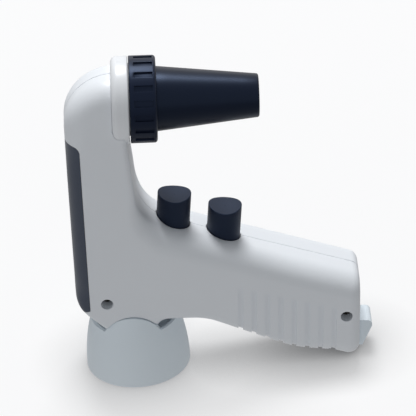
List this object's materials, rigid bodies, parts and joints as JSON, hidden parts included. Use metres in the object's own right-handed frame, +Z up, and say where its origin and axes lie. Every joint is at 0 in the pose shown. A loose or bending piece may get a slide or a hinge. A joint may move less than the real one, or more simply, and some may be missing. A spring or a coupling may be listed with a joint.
{
  "type": "electric pipette pump",
  "caption": "Cordless pipette controller with a tapered nose, ribbed union nut and thumb triggers on a slanted grip, resting in a small dome cradle.",
  "frame": {"origin": "centre of the cradle's base, on the bench", "axes": "+X towards the nose and the grip's end, +Y to the housing's right half, +Z up"},
  "size_m": [0.1269, 0.0452, 0.1501],
  "materials": {
    "white_shell": "satin moulded ABS, near white",
    "white_ring": "gloss moulded plastic, white",
    "dark_rubber": "soft overmould, dark blue-grey",
    "dark_plastic": "satin polypropylene, very dark blue",
    "button_plastic": "matt, dark blue-grey",
    "pale_plastic": "matt moulded plastic, pale blue-grey",
    "silicone": "translucent silicone",
    "steel": "machined",
    "brass": "machined",
    "filter_plastic": "clear to white capsule",
    "black_plastic": "moulded",
    "board": "glass-filled laminate",
    "cell_sleeve": "plain shrink sleeve"
  },
  "bodies": {
    "cradle": {"bench_cradle": "pale_plastic", "cradle_pad": "dark_rubber"},
    "controller": {"housing_left": "white_shell", "housing_right": "white_shell", "back_inlay": "dark_rubber", "housing_screws": "steel", "mounting_ring": "white_ring", "membrane_filter": "filter_plastic", "nose_gasket": "silicone", "pump_motor": "steel", "pump_diaphragm": "silicone", "pump_head": "black_plastic", "pump_bracket": "black_plastic", "nose_tube": "silicone", "valve_tube": "silicone", "control_board": "board", "battery_cell": "cell_sleeve", "battery_cradle": "black_plastic", "battery_contacts": "steel", "charging_socket": "black_plastic", "aspirate_guide": "black_plastic", "aspirate_spring": "steel", "aspirate_valve": "brass", "aspirate_switch": "black_plastic", "dispense_guide": "black_plastic", "dispense_spring": "steel", "dispense_valve": "brass", "dispense_switch": "black_plastic"},
    "aspirate_button": {"aspirate_trigger": "button_plastic", "aspirate_plunger": "steel"},
    "dispense_button": {"dispense_trigger": "button_plastic", "dispense_plunger": "steel"},
    "nose": {"nose_cone": "dark_plastic", "pipette_holder": "silicone"},
    "nut": {"union_nut": "dark_plastic"},
    "pump_shaft": {"motor_shaft": "steel"},
    "cover": {"socket_cover": "pale_plastic"}
  },
  "joints": [
    {"name": "controller_lift_off", "type": "slide", "parent": "cradle", "child": "controller", "axis": [0, 0, 1], "range_m": [0, 0.04]},
    {"name": "aspirate_press", "type": "slide", "parent": "controller", "child": "aspirate_button", "axis": [-0.1115, 0, -0.9938], "range_m": [0, 0.0045], "stiffness_N_per_m": 600, "springref_m": -0.002, "deforming": ["aspirate_spring"]},
    {"name": "dispense_press", "type": "slide", "parent": "controller", "child": "dispense_button", "axis": [-0.1115, 0, -0.9938], "range_m": [0, 0.0045], "stiffness_N_per_m": 600, "springref_m": -0.002, "deforming": ["dispense_spring"]},
    {"name": "nose_travel", "type": "slide", "parent": "controller", "child": "nose", "axis": [0.999, 0, -0.0454], "range_m": [0, 0.004]},
    {"name": "nut_turn", "type": "hinge", "parent": "nose", "child": "nut", "pos_m": [0.01122, 0, 0.13126], "axis": [0.999, 0, -0.0454], "range_deg": [0, 360]},
    {"name": "pump_shaft_spin", "type": "hinge", "parent": "controller", "child": "pump_shaft", "pos_m": [-0.01157, 0, 0.07524], "axis": [0.0454, 0, 0.999], "continuous": true},
    {"name": "cover_pull_off", "type": "slide", "parent": "controller", "child": "cover", "axis": [0.999, 0, -0.0454], "range_m": [0, 0.008]}
  ],
  "couplings": [
    {"joint": "nut_turn", "follows": "nose_travel", "rad_per_m": 1570.8}
  ]
}
